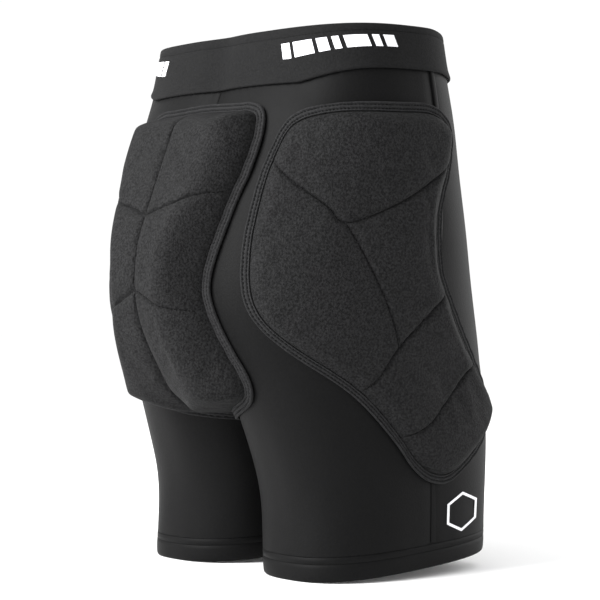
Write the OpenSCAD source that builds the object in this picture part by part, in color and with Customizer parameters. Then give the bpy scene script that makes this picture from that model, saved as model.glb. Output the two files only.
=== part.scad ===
// Padded impact shorts: a stretch short with a thick quilted seat pad and a quilted hip pad on
// each side.  The wearer faces -Y, the wearer's left is +X, and the lowest point of the hems
// is at z = 0.  All lengths are in millimetres.

/* [Garment] */
// Height from the back of the hems to the top of the waistband
height = 480; // [440:5:520]
// Girth, as a factor on every cross-section
girth = 1; // [0.9:0.01:1.1]
// Thickness of the stretch fabric
fabric = 1.2; // [0.8:0.1:1.6]
// Height of the turned hem on each leg
hem_h = 22; // [16:1:30]
// How much the hem rises towards the front, as a slope
hem_rise = 0.08; // [0:0.01:0.1]

/* [Waistband] */
// Height of the elastic waistband
band_h = 34; // [30:1:40]
// How far the lower edge of the waistband dips at the centre back
band_dip = 14; // [0:1:16]
// How far the waistband droops at the front
band_droop = 5; // [0:1:8]

/* [Seat pad] */
// Height of the lower seat cushions above the fabric
seat_h = 37; // [30:1:38]
// Height of the uppermost seat cushions above the fabric
seat_top_h = 31; // [26:1:34]
// Depth of the sewn channels between the seat cushions
seat_channel = 3.5; // [2:0.5:5]
// Extra depth of the middle channel between the two lowest cushions
seat_cleft = 6; // [4:1:12]

/* [Hip pads] */
// Height of the hip cushions above the fabric, at the front
hip_h = 13; // [11:1:16]
// How much thinner the hip cushions are towards the back
hip_taper = 3.5; // [0:0.5:4]
// Depth of the sewn channels between the hip cushions
hip_channel = 3; // [2:0.5:4]

/* [Binding] */
// Width of the binding around each pad
binding_w = 8; // [6:0.5:9]
// Thickness of the binding
binding_t = 2.4; // [2:0.2:3]

/* [Hidden] */

black = [0.11, 0.11, 0.12];
knit = [0.17, 0.17, 0.18];
edge_tape = [0.13, 0.13, 0.14];
foam = [0.82, 0.80, 0.72];
thread = [0.22, 0.22, 0.23];
white = [0.93, 0.93, 0.93];

// Cross-sections of one half of the body at seven equal steps from hem to waist.  Each half is
// a rounded oval: `centre` and `reach` are its middle and its outermost x, `inside` its
// half-width towards the other leg, `back` and `front` its half-depths, `middle_y` its y.
reach = [154, 154, 153, 164, 170, 170, 157];
centre = [87, 80, 72, 53, 47, 46, 43];
inside = [76, 75, 76, 104, 112, 112, 112];
back = [95, 97, 120, 144, 132, 100, 78];
front = [113, 121, 128, 123, 107, 95, 89];
middle_y = [-35, -34, -29, -21, -19, -16, -15];
back_power = [2.6, 2.5, 2.35, 2.05, 2.05, 2.3, 2.4];
front_power = 2.6;

lift = height / 480;    // scale of every height that the pads and prints are laid out at
crotch_z = 130 * lift;  // the legs part below this height
cleft = 25;             // half-width over which the fabric bridges the middle of the body
pad_bridge = 31;        // extra bridging of the seat pad, at its middle
side_angle = -12;       // polar angle of the side seam, from the outermost point to the back
grain = 2.45;           // mm of fabric per degree of polar angle at the hip
pad_base = 1.2;         // gap for seams between the fabric and the pads
cover_t = 1.4;          // pad cover fabric
foam_gap = 2.4;         // clearance between foam and cover
foam_inset = 0.88;      // foam outline, as a share of its cell
panel_gap = 0.2;        // gap between pieces that are sewn edge to edge
band_t = 1.4;           // thickness of the waistband's outer fabric
band_lap = 4;           // how far the waistband overlaps the panels
seam_w = 5;             // width of the flat seams
seam_t = 0.7;           // thickness of the flat seams
band_z = height - band_h;

// ---- the body surface -------------------------------------------------------------------

function smooth(q) = let (s = min(max(q, 0), 1)) s * s * (3 - 2 * s);
function dome(q) = let (s = min(max(q, 0), 1)) sqrt(1 - (1 - s) * (1 - s));

// Value at height z of a list of values at equal steps from hem to waist, on a smooth curve.
function along(v, z) =
    let (n = len(v) - 1, q = min(max(z / height * n, 0), n - 0.0001), i = floor(q), t = q - i,
        a = i > 0 ? v[i - 1] : 2 * v[0] - v[1], b = v[i], c = v[i + 1],
        d = i + 2 <= n ? v[i + 2] : 2 * v[n] - v[n - 1])
    (2 * b + (c - a) * t + (2 * a - 5 * b + 4 * c - d) * t * t
        + (3 * b - a - 3 * c + d) * t * t * t) / 2;

function bridge(z) = cleft * smooth((z - crotch_z) / 60);

// Polar radius of the half's oval: turn is 0 at its outermost point and 90 at the back.
function oval(turn, z) =
    let (c = cos(turn), s = sin(turn),
        a = c >= 0 ? along(reach, z) - along(centre, z) : along(inside, z),
        b = along(s >= 0 ? back : front, z),
        n = s >= 0 ? along(back_power, z) : front_power)
    pow(pow(abs(c / a), n) + pow(abs(s / b), n), -1 / n);

function raw_x(turn, z) = along(centre, z) + oval(turn, z) * cos(turn);

// The hem rises to the front, and the seam under the waistband dips at the back.
function settle(y, z) =
    z + hem_rise * (60 - y) * max(1 - z / 140, 0)
    - band_dip * pow(min(max((y + 18) / 80, 0), 1), 4) * max(1 - abs(z - band_z) / 40, 0)
    - band_droop * smooth((-45 - y) / 55) * smooth((z - 380) / 60);

function body(turn, z) =
    let (x0 = raw_x(turn, z), y0 = along(middle_y, z) + oval(turn, z) * sin(turn),
        x = z > crotch_z ? sqrt(max(pow(max(x0, 0), 2) - pow(bridge(z), 2), 0)) : max(x0, 0.2),
        dent = 5 * smooth((z - 330) / 90) * exp(-pow(x / 20, 2)) * max(sin(turn), 0),
        y = y0 - dent)
    [girth * x, girth * y, settle(y, z)];

function unit(v) = v / norm(v);

// A point at height h above the body surface.
function skin(turn, z, h) =
    h == 0 ? body(turn, z) :
    let (p = body(turn, z), s = turn > 40 ? -1 : 1,
        u = (body(turn + 0.5 * s, z) - p) * s, v = body(turn, z + 1) - body(turn, z - 1))
    p + h * unit(cross(u, v));

// Polar angle where the half meets the middle plane, at the back (dir 1) or front (dir -1).
function meet(z, dir, low = 60, high = 180, n = 22) =
    z <= crotch_z ? 180 * dir :
    n == 0 ? dir * low :
    let (m = (low + high) / 2)
    raw_x(dir * m, z) > bridge(z) ? meet(z, dir, m, high, n - 1) : meet(z, dir, low, m, n - 1);

// Polar angle at a share s of the way from the side seam to the middle plane.  Just above the
// crotch only the points near the middle plane move round to it.
function turn_at(z, dir, s) =
    let (m = meet(z, dir), f = 1 - pow(1 - s, 1.6), far = 180 * dir, knee = m - 40 * dir,
        full = side_angle + (far - side_angle) * f,
        near = full * dir < knee * dir ? full : knee + (full - knee) * (m - knee) / (far - knee),
        w = smooth((z - crotch_z) / 80))
    near + w * (side_angle + (m - side_angle) * f - near);

// ---- solids from grids of points ----------------------------------------------------------

function mirrored(p) = [-p[0], p[1], p[2]];
function on_side(p, side) = side > 0 ? p : mirrored(p);

// A closed solid between two grids of points of the same size.
module sheet_solid(top, bottom, flip = false) {
    rows = len(top);
    cols = len(top[0]);
    half = rows * cols;
    points = [for (g = [top, bottom]) for (r = g) for (p = r) p];
    function at(i, j, k) = k * half + i * cols + j;
    faces = concat(
        [for (i = [0 : rows - 2]) for (j = [0 : cols - 2]) for (f = [
            [at(i, j, 0), at(i + 1, j, 0), at(i + 1, j + 1, 0)],
            [at(i, j, 0), at(i + 1, j + 1, 0), at(i, j + 1, 0)],
            [at(i, j, 1), at(i + 1, j + 1, 1), at(i + 1, j, 1)],
            [at(i, j, 1), at(i, j + 1, 1), at(i + 1, j + 1, 1)]]) f],
        [for (i = [0 : rows - 2]) for (f = [
            [at(i, 0, 0), at(i, 0, 1), at(i + 1, 0, 1)],
            [at(i, 0, 0), at(i + 1, 0, 1), at(i + 1, 0, 0)],
            [at(i, cols - 1, 0), at(i + 1, cols - 1, 1), at(i, cols - 1, 1)],
            [at(i, cols - 1, 0), at(i + 1, cols - 1, 0), at(i + 1, cols - 1, 1)]]) f],
        [for (j = [0 : cols - 2]) for (f = [
            [at(0, j, 0), at(0, j + 1, 1), at(0, j, 1)],
            [at(0, j, 0), at(0, j + 1, 0), at(0, j + 1, 1)],
            [at(rows - 1, j, 0), at(rows - 1, j, 1), at(rows - 1, j + 1, 1)],
            [at(rows - 1, j, 0), at(rows - 1, j + 1, 1), at(rows - 1, j + 1, 0)]]) f]);
    polyhedron(points, flip ? [for (f = faces) [f[2], f[1], f[0]]] : faces, convexity = 10);
}

// A closed ring: `loops` are its four corner lines, each a closed list of points.
module ring_solid(loops, flip = false) {
    n = len(loops[0]);
    k = len(loops);
    faces = [for (a = [0 : k - 1]) for (j = [0 : n - 1])
        let (b = (a + 1) % k, m = (j + 1) % n)
        for (f = [[a * n + j, b * n + j, b * n + m], [a * n + j, b * n + m, a * n + m]]) f];
    polyhedron([for (l = loops) for (p = l) p],
        flip ? [for (f = faces) [f[2], f[1], f[0]]] : faces, convexity = 10);
}

// ---- fabric shells ------------------------------------------------------------------------

leg_steps = [0, 0.2, 0.42, 0.64, 0.82, 0.94];
torso_steps = [0, 0.004, 0.012, 0.028, 0.06, 0.11, 0.18, 0.27, 0.37, 0.47, 0.58, 0.69, 0.8, 0.91, 1];
panel_rows = let (low = hem_h + panel_gap, top = band_z - panel_gap) concat(
    [for (f = leg_steps) low + (crotch_z - low) * f],
    [for (f = torso_steps) crotch_z + (top - crotch_z) * f]);

// One panel of one half, from the side seam to the middle plane at the back or the front.
module panel(side, dir, cols) {
    start = panel_gap / grain * dir;  // leaves the gap at the side seam
    grids = [for (h = [0, -fabric]) [for (z = panel_rows) [for (j = [0 : cols])
        on_side(skin(turn_at(z, dir, j / cols) + (j == 0 ? start : 0), z, h), side)]]];
    sheet_solid(grids[0], grids[1], side * dir > 0);
}

// A closed loop of points around the whole waist at height z, h above the body surface.
function waist_loop(z, h, n = 16) = concat(
    [for (j = [0 : n]) skin(turn_at(z, 1, 1 - j / n), z, h)],
    [for (j = [1 : n]) skin(turn_at(z, -1, j / n), z, h)],
    [for (j = [1 : n]) mirrored(skin(turn_at(z, -1, 1 - j / n), z, h))],
    [for (j = [1 : n - 1]) mirrored(skin(turn_at(z, 1, j / n), z, h))]);

// A closed loop of points around one leg.
function leg_loop(z, h, side, n = 48) =
    [for (j = [0 : n - 1]) on_side(skin(360 * j / n - 180, z, h), side)];

module waist_ring(low, top, inner, outer) {
    ring_solid([waist_loop(low, outer), waist_loop(top, outer),
        waist_loop(top, inner), waist_loop(low, inner)], true);
}

module hem(side) {
    ring_solid([leg_loop(0, 0, side), leg_loop(hem_h, 0, side),
        leg_loop(hem_h, -2 * fabric, side), leg_loop(0, -2 * fabric, side)], side > 0);
}

// The flat seam down one side, over the gap between its back and front panels.
module side_seam(side) {
    w = seam_w / grain / 2;
    rows = [for (z = panel_rows) if (z < band_z - band_lap - 2) z];
    sheet_solid(
        [for (z = rows) [for (d = [-w, w]) on_side(skin(side_angle + d, z, 0.2 + seam_t), side)]],
        [for (z = rows) [for (d = [-w, w]) on_side(skin(side_angle + d, z, 0.2), side)]], side > 0);
}

// The seam in the middle plane at the back (dir 1) or the front (dir -1).
module middle_seam(dir) {
    rows = [for (z = panel_rows) if (z > crotch_z + 12 && z < band_z - band_lap - 2) z];
    grids = [for (h = [0.2 + seam_t, 0.2]) [for (z = rows)
        let (p = skin(meet(z, dir), z, h)) [for (x = [-seam_w / 2, seam_w / 2]) [x, p[1], p[2]]]]];
    sheet_solid(grids[0], grids[1], dir < 0);
}

// The seam down the inside of one leg, inside the fabric.
module inseam(side) {
    w = seam_w / 2 / 1.6;
    rows = [for (z = panel_rows) if (z < crotch_z - 15) z];
    grids = [for (h = [-fabric - 0.2, -fabric - 0.2 - seam_t]) [for (z = rows)
        [for (d = [-w, w]) on_side(skin(180 + d, z, h), side)]]];
    sheet_solid(grids[0], grids[1], side > 0);
}

// The reinforcing patch inside the crotch, a curved strip that runs from front to back.
module gusset() {
    reach_z = 48 * lift;
    rows = [for (f = [0.03, 0.08, 0.18, 0.4, 0.7, 1]) crotch_z + reach_z * f];
    line = concat([for (i = [len(rows) - 1 : -1 : 0]) [rows[i], -1]], [for (z = rows) [z, 1]]);
    half_w = [for (p = line) 3 + 13 * (1 - pow((p[0] - crotch_z) / reach_z, 2))];
    inner = fabric + 0.5;
    grids = [for (h = [-inner, -inner - 1]) [for (i = [0 : len(line) - 1])
        let (p = skin(meet(line[i][0], line[i][1]), line[i][0], h), w = half_w[i])
        [for (x = [-1, -0.5, 0, 0.5, 1]) [x * w, p[1], p[2]]]]];
    color(black) sheet_solid(grids[0], grids[1]);
}

// ---- pads ---------------------------------------------------------------------------------

// Point at share t between control k and the next, on a smooth closed curve.
function curve(c, k, t) =
    let (n = len(c), p = c[(k + n - 1) % n], q = c[k % n], r = c[(k + 1) % n], s = c[(k + 2) % n])
    (2 * q + (r - p) * t + (2 * p - 5 * q + 4 * r - s) * t * t + (3 * q - p - 3 * r + s) * t * t * t) / 2;

function outline(c, steps) = [for (k = [0 : len(c) - 1]) for (i = [0 : steps - 1]) curve(c, k, i / steps)];

// The same closed line moved inwards by w.
function inset(line, w) =
    let (n = len(line))
    [for (i = [0 : n - 1])
        let (d = unit(line[(i + 1) % n] - line[(i + n - 1) % n])) line[i] + w * [d[1], -d[0]]];

function part_of(line, from, to) = [for (i = [from : to]) line[i % len(line)]];

// A point on the pad's base surface, h above it: pad 0 is the seat, 1 and -1 the hips.
function seat_y(x, z) =
    let (e = pow(bridge(z), 2)
            + pow(pad_bridge, 2) * smooth((z - crotch_z) / 60) * exp(-pow(x / 40, 2)),
        u = sqrt(x * x + e) - along(centre, z),
        a = u >= 0 ? along(reach, z) - along(centre, z) : along(inside, z),
        n = along(back_power, z))
    along(middle_y, z) + along(back, z) * pow(max(1 - pow(abs(u / a), n), 0.0001), 1 / n);

function seat_point(p, h) =
    let (d = 1, x = p[0], z = p[1],
        gx = (seat_y(x + d, z) - seat_y(x - d, z)) / (2 * d),
        gz = (seat_y(x, z + d) - seat_y(x, z - d)) / (2 * d),
        q = [x, seat_y(x, z), z] + h * unit([-gx, 1, -gz]))
    [girth * q[0], girth * q[1], q[2]];

function pad_point(pad, p, h) =
    pad == 0 ? seat_point(p, h + pad_base) :
    on_side(skin(p[0] / grain, p[1], h + pad_base), pad);

// The seat pad is thinner where it tucks between the legs, and its lowest cushions part.
function tuck(p) = 1 - (1 - smooth((p[1] / lift - 128) / 60)) * exp(-pow(p[0] / 25, 2));
function part(p) = seat_cleft * smooth((262 - p[1] / lift) / 80) * exp(-abs(p[0]) / 12);

function seat_rise(p) = seat_top_h + (seat_h - seat_top_h) * smooth((340 - p[1] / lift) / 60);

// Height of the cushions, and of the channels between them, above the pad's base.
function crest(pad, p) =
    pad == 0 ? (seat_rise(p) - part(p)) * tuck(p) : hip_h - hip_taper * smooth((p[0] / grain - 5) / 40);
function channel(pad, p) = crest(pad, p) - (pad == 0 ? seat_channel * tuck(p) : hip_channel);

// The rim of each pad cover lies at this height, under the binding.
rim_h = binding_t;
at_rim = rim_h + 0.01;    // below this height a cell's edge point lies on the rim
rim_w = [26, 16];         // width of the cushions' rounded edge at the rim, of the seat and hip pads
channel_w = 7;            // and at a channel

function swell(q) = pow(sin(90 * min(max(q, 0), 1)), 0.75);

// Distance from p to the segment from a to b.
function to_segment(p, a, b) =
    let (d = b - a, t = min(max((p - a) * d / max(d * d, 0.000001), 0), 1)) norm(p - a - t * d);

function to_line(p, line) =
    min([for (i = [0 : len(line) - 1]) to_segment(p, line[i], line[(i + 1) % len(line)])]);

// Height of the cover at distances to the rim and to the nearest channel.
function cover_h(pad, p, rim_d, channel_d) =
    let (low = channel(pad, p), top = low + (crest(pad, p) - low) * dome(channel_d / channel_w))
    rim_h + (top - rim_h) * swell(rim_d / rim_w[abs(pad)]);

// A cell is its edge points, each with the height of the cover there.
function cell(pad, edge, rim) = [for (p = edge) [p, cover_h(pad, p, to_line(p, rim), 0)]];

// The shortest distance from p to those segments of cell c that lie on the rim, or on channels.
function to_edge(p, c, rim) =
    let (n = len(c))
    min([for (j = [0 : n - 1]) let (k = (j + 1) % n, on = c[j][1] < at_rim && c[k][1] < at_rim)
        on == rim ? to_segment(p, c[j][0], c[k][0]) : 1000]);

function middle(edge) = let (n = len(edge)) [for (k = [0, 1]) (max([for (p = edge) p[k]])
    + min([for (p = edge) p[k]])) / 2];

rings = [1, 0.93, 0.82, 0.6];

// Points of one cell: rings from the edge to the middle, then the middle, lowered by `drop`.
function cell_points(pad, c, drop, from = 1) =
    let (m = middle([for (q = c) q[0]]))
    concat([for (s = rings) for (q = c)
            let (t = s * from, p = m + (q[0] - m) * t,
                h = t == 1 ? q[1] : cover_h(pad, p, to_edge(p, c, true), to_edge(p, c, false)))
            pad_point(pad, p, h - drop)],
        [pad_point(pad, m, cover_h(pad, m, to_edge(m, c, true), to_edge(m, c, false)) - drop)]);

// Triangles of the same cell, for a cell of n edge points whose points start at index o.
function cell_faces(n, o, flip) = let (r = len(rings), f = concat(
    [for (a = [0 : r - 2]) for (j = [0 : n - 1]) let (k = (j + 1) % n, p = o + a * n, q = p + n)
        for (t = [[p + j, p + k, q + k], [p + j, q + k, q + j]]) t],
    [for (j = [0 : n - 1]) [o + (r - 1) * n + j, o + (r - 1) * n + (j + 1) % n, o + r * n]]))
    flip ? [for (t = f) [t[2], t[1], t[0]]] : f;

function sum_to(v, k) = k <= 0 ? 0 : v[k - 1] + sum_to(v, k - 1);

// The quilted cover: every cell's outer and inner skin, joined along the rim.
module cover(pad, cells, rim, flip) {
    sizes = [for (c = cells) 2 * (len(rings) * len(c) + 1)];
    points = [for (c = cells) for (p = concat(cell_points(pad, c, 0), cell_points(pad, c, cover_t))) p];
    faces = [for (i = [0 : len(cells) - 1])
        let (c = cells[i], n = len(c), o = sum_to(sizes, i), low = o + len(rings) * n + 1)
        for (t = concat(cell_faces(n, o, flip), cell_faces(n, low, !flip),
            [for (j = [0 : n - 1]) let (k = (j + 1) % n)
                if (c[j][1] < at_rim && c[k][1] < at_rim)
                for (f = [[o + j, low + j, low + k], [o + j, low + k, o + k]])
                    flip ? [f[2], f[1], f[0]] : f])) t];
    polyhedron(points, faces, convexity = 10);
}

// One foam block, the size of a cell less its clearances.
foam_rings = [1, 0.75, 0.4];
module foam_block(pad, c, flip) {
    n = len(c);
    r = len(foam_rings);
    m = middle([for (q = c) q[0]]);
    low = len(rings) * n + 1;
    end = low + r * n;
    points = concat(cell_points(pad, c, cover_t + foam_gap, foam_inset),
        [for (s = foam_rings) for (q = c) pad_point(pad, m + (q[0] - m) * foam_inset * s, 0)],
        [pad_point(pad, m, 0)]);
    under = [for (j = [0 : n - 1]) let (k = (j + 1) % n)
        for (f = concat([[j, low + j, low + k], [j, low + k, k],
                [end - n + j, end, end - n + k]],
            [for (a = [0 : r - 2]) let (p = low + a * n, q = p + n)
                for (t = [[p + j, q + j, q + k], [p + j, q + k, p + k]]) t]))
            flip ? [f[2], f[1], f[0]] : f];
    polyhedron(points, concat(cell_faces(n, 0, flip), under), convexity = 10);
}

// The binding that holds a pad cover down, a flat tape along its outline.
module binding(pad, out, rim, flip) {
    ring_solid([[for (p = out) pad_point(pad, p, binding_t)],
        [for (p = inset(rim, -panel_gap)) pad_point(pad, p, binding_t)],
        [for (p = inset(rim, -panel_gap)) pad_point(pad, p, 0)],
        [for (p = out) pad_point(pad, p, 0)]], flip);
}

// ---- pad layouts --------------------------------------------------------------------------

// Outer edge of the seat pad's left half, from the middle of its top to the middle of its
// bottom, as [x, z].
seat_half = [[0, 415.5], [44, 414], [68, 413], [83, 405], [88, 383], [86, 352], [81, 332], [73, 300],
    [65, 268], [63.5, 250], [68.5, 229], [77, 200], [84, 176], [82, 160], [72, 151], [51, 143], [26, 137],
    [0, 134]];
seat_outer = let (h = [for (p = seat_half) [p[0], p[1] * lift]])
    outline(concat(h, [for (i = [len(h) - 2 : -1 : 1]) [-h[i][0], h[i][1]]]), 2);
seat_rim = inset(seat_outer, binding_w);
seat_upper_line = [for (p = [[44, 321], [20, 315]]) [p[0], p[1] * lift]];
seat_lower_line = [for (p = [[56, 235], [31, 243], [12, 249]]) [p[0], p[1] * lift]];
seat_cross = [for (z = [310, 252]) [0, z * lift]];
function mid_line(from, to, n) = [for (i = [1 : n - 1]) [0, from + (to - from) * i / n]];
function backwards(v) = [for (i = [len(v) - 1 : -1 : 0]) v[i]];

// Edge points of the left seat cells: upper, middle and lower.
seat_edges = [
    concat(part_of(seat_rim, 0, 12), seat_upper_line, [seat_cross[0]],
        mid_line(seat_cross[0][1], seat_rim[0][1], 4)),
    concat(part_of(seat_rim, 12, 20), seat_lower_line, [seat_cross[1]],
        mid_line(seat_cross[1][1], seat_cross[0][1], 3), [seat_cross[0]], backwards(seat_upper_line)),
    concat(part_of(seat_rim, 20, 34), mid_line(seat_rim[34][1], seat_cross[1][1], 5), [seat_cross[1]],
        backwards(seat_lower_line))];

// Outer edge of the hip pads, as [polar angle, z].
hip_edge = [[62, 364], [53, 397], [36, 409], [10, 411], [-10, 410], [-21, 392], [-19, 360], [-13, 320],
    [-14, 280], [-18.5, 256], [-30.5, 222], [-44.5, 193], [-58, 164], [-62, 140], [-52, 108], [-28, 80],
    [-10, 80], [5, 94], [17, 117], [38.5, 158], [61, 200], [70, 235], [70, 285], [67, 325]];
function laid_out(v) = [for (p = v) [p[0] * grain, p[1] * lift]];
hip_outer = outline(laid_out(hip_edge), 3);
hip_rim = inset(hip_outer, -binding_w);
hip_rear_line = laid_out([[52, 345], [44, 331], [38, 320]]);
hip_front_line = laid_out([[4, 335], [18, 319]]);
hip_down_line = laid_out([[29, 294], [24, 272], [19, 248], [15.5, 226]]);
hip_thigh_line = laid_out([[-2, 229]]);
hip_thigh_rear_line = laid_out([[25.7, 179]]);
hip_low_line = laid_out([[-34, 180], [-22, 159], [-5, 135]]);
hip_cross = laid_out([[32.5, 308], [13.5, 204]]);

// Edge points of the hip cells: top, front, rear, thigh and low.
hip_edges = [
    concat(part_of(hip_rim, 0, 18), hip_front_line, [hip_cross[0]], backwards(hip_rear_line)),
    concat(part_of(hip_rim, 18, 27), hip_thigh_line, [hip_cross[1]], backwards(hip_down_line),
        [hip_cross[0]], backwards(hip_front_line)),
    concat(part_of(hip_rim, 57, 72), hip_rear_line, [hip_cross[0]], hip_down_line, [hip_cross[1]],
        hip_thigh_rear_line),
    concat(part_of(hip_rim, 27, 33), hip_low_line, part_of(hip_rim, 54, 57),
        backwards(hip_thigh_rear_line), [hip_cross[1]], backwards(hip_thigh_line)),
    concat(part_of(hip_rim, 33, 54), backwards(hip_low_line))];

function across(edge) = backwards([for (p = edge) [-p[0], p[1]]]);
seat_left = [for (e = seat_edges) cell(0, e, seat_rim)];
seat_right = [for (e = seat_edges) cell(0, across(e), seat_rim)];
hip_cells = [for (e = hip_edges) cell(1, e, hip_rim)];

// ---- sub-parts ----------------------------------------------------------------------------

module waistband_outer() { color(black) waist_ring(band_z - band_lap, height, 0.3, 0.3 + band_t); }
module waistband_elastic() { color(white) waist_ring(band_z, height - 1, -1.2, 0.1); }
module waistband_lining() { color(black) waist_ring(band_z - band_lap, height - 1, -2.6, -1.5); }

// A small blank label at the centre back, inside the waistband.
module care_label() {
    rows = [band_z - 18, band_z + 4];
    grids = [for (h = [-3.1, -3.5]) [for (z = rows)
        let (p = skin(meet(z, 1), z, h)) [for (x = [-14, 0, 14]) [x, p[1] - 0.5, p[2]]]]];
    color(white) sheet_solid(grids[0], grids[1]);
}

// Slanted bars round the back of the waistband, as [first angle, last angle].
print_bars = [[5, 10], [12, 15], [17, 27], [29, 32], [34, 39], [41, 51], [53, 58]];
module waist_print(side) {
    low = 459.5 * lift;
    top = low + 10;
    color(white) for (b = print_bars) {
        grids = [for (h = [0.5, 0.2]) [for (z = [low, top]) [for (f = [0, 0.5, 1])
            on_side(skin(b[0] + (b[1] - b[0]) * f + (z > low ? 1.5 : 0), z, 0.3 + band_t + h), side)]]];
        sheet_solid(grids[0], grids[1], side > 0);
    }
}

module back_panel_right() { color(black) panel(-1, 1, 16); }
module back_panel_left() { color(black) panel(1, 1, 16); }
module front_panel_right() { color(black) panel(-1, -1, 12); }
module front_panel_left() { color(black) panel(1, -1, 12); }
module hem_right() { color(black) hem(-1); }
module hem_left() { color(black) hem(1); }
module seam_centre_back() { color(thread) middle_seam(1); }
module seam_centre_front() { color(thread) middle_seam(-1); }
module seam_side_right() { color(thread) side_seam(-1); }
module seam_side_left() { color(thread) side_seam(1); }
module inseam_right() { color(thread) inseam(-1); }
module inseam_left() { color(thread) inseam(1); }

module seat_cover() { color(knit) cover(0, concat(seat_left, seat_right), seat_rim, false); }
module seat_binding() { color(edge_tape) binding(0, seat_outer, seat_rim, false); }
module seat_foam(i, side) { color(foam) foam_block(0, side > 0 ? seat_left[i] : seat_right[i], false); }

module hip_cover(side) { color(knit) cover(side, hip_cells, hip_rim, side > 0); }
module hip_binding(side) { color(edge_tape) binding(side, hip_outer, hip_rim, side > 0); }
module hip_foam(i, side) { color(foam) foam_block(side, hip_cells[i], side > 0); }

// A six-sided outline on the front of the right leg.
module leg_print() {
    corners = [for (a = [30 : 60 : 330]) [-38.6 + 15 * cos(a), (47 + 19 * sin(a)) * lift]];
    color(white) ring_solid([for (q = [[1, 0.2], [1, 0.5], [0.87, 0.5], [0.87, 0.2]])
        [for (c = corners) mirrored(skin(-38.6 + (c[0] + 38.6) * q[0],
            47 * lift + (c[1] - 47 * lift) * q[0], q[1]))]]);
}

waistband_outer();
waistband_elastic();
waistband_lining();
care_label();
waist_print(-1);  // waist_print_right
waist_print(1);  // waist_print_left
back_panel_right();
back_panel_left();
front_panel_right();
front_panel_left();
hem_right();
hem_left();
gusset();
seam_centre_back();
seam_centre_front();
seam_side_right();
seam_side_left();
inseam_right();
inseam_left();
seat_cover();
seat_binding();
seat_foam(0, -1);  // seat_foam_upper_right
seat_foam(0, 1);  // seat_foam_upper_left
seat_foam(1, -1);  // seat_foam_middle_right
seat_foam(1, 1);  // seat_foam_middle_left
seat_foam(2, -1);  // seat_foam_lower_right
seat_foam(2, 1);  // seat_foam_lower_left
hip_cover(-1);  // hip_cover_right
hip_cover(1);  // hip_cover_left
hip_binding(-1);  // hip_binding_right
hip_binding(1);  // hip_binding_left
hip_foam(0, -1);  // hip_foam_top_right
hip_foam(0, 1);  // hip_foam_top_left
hip_foam(1, -1);  // hip_foam_front_right
hip_foam(1, 1);  // hip_foam_front_left
hip_foam(2, -1);  // hip_foam_rear_right
hip_foam(2, 1);  // hip_foam_rear_left
hip_foam(3, -1);  // hip_foam_thigh_right
hip_foam(3, 1);  // hip_foam_thigh_left
hip_foam(4, -1);  // hip_foam_low_right
hip_foam(4, 1);  // hip_foam_low_left
leg_print();
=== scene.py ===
"""Padded impact shorts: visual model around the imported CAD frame."""

import math

import bmesh
import bpy
import numpy as np
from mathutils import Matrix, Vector
from mathutils.geometry import delaunay_2d_cdt


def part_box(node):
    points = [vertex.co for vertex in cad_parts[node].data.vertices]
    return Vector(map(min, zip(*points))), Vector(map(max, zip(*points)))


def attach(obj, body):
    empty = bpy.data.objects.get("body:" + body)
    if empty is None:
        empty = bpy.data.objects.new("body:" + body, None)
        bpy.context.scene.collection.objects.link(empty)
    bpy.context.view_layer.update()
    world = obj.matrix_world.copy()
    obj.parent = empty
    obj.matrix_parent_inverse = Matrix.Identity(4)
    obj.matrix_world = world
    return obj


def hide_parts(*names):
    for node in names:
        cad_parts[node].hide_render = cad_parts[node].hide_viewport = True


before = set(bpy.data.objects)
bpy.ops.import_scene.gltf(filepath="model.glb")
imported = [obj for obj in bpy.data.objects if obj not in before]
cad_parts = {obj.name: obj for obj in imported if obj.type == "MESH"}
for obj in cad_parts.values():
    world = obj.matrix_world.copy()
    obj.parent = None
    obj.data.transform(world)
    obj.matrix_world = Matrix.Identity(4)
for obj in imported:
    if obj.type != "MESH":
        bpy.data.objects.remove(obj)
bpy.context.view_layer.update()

MM = 0.001

# ---- sizes, in millimetres, as in the CAD model ----------------------------------------------

HEIGHT = round((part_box("waistband_outer")[1].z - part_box("hem_right")[0].z) / MM)
LIFT = HEIGHT / 480             # scale of every height that pads and prints are laid out at
FABRIC = 1.2                    # thickness of the panels
HEM_H = 22
HEM_RISE = 0.08                 # slope of the hem, up towards the front
BAND_H = 34
BAND_LAP = 4                    # how far the waistband overlaps the panels
BAND_Z = HEIGHT - BAND_H
BAND_DIP, BAND_DROOP = 14, 5    # how far the waistband drops at the back and at the front
SPINE_DENT = 5                  # hollow of the back above the seat
SEAT_H, SEAT_TOP_H = 37, 31     # height of the seat cushions, and of the top pair
SEAT_CHANNEL, SEAT_CLEFT = 3.5, 6
HIP_H, HIP_TAPER, HIP_CHANNEL = 13, 3.5, 3
BINDING_W, BINDING_T = 8, 2.4
PAD_BASE = 1.2                  # gap for seams between the fabric and the pads
SEAT_RIM_W, HIP_RIM_W = 26, 16  # width of the slope from a cushion down to its binding
CROTCH_Z = 130 * LIFT           # the legs part below this height
CLEFT = 25                      # half-width over which the fabric bridges the middle of the body
PAD_BRIDGE = 31                 # extra bridging of the seat pad, at its middle
SIDE_ANGLE = -12                # polar angle of the side seam, from the outermost point to the back
GRAIN = 2.45                    # millimetres of fabric per degree of polar angle at the hip

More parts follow.
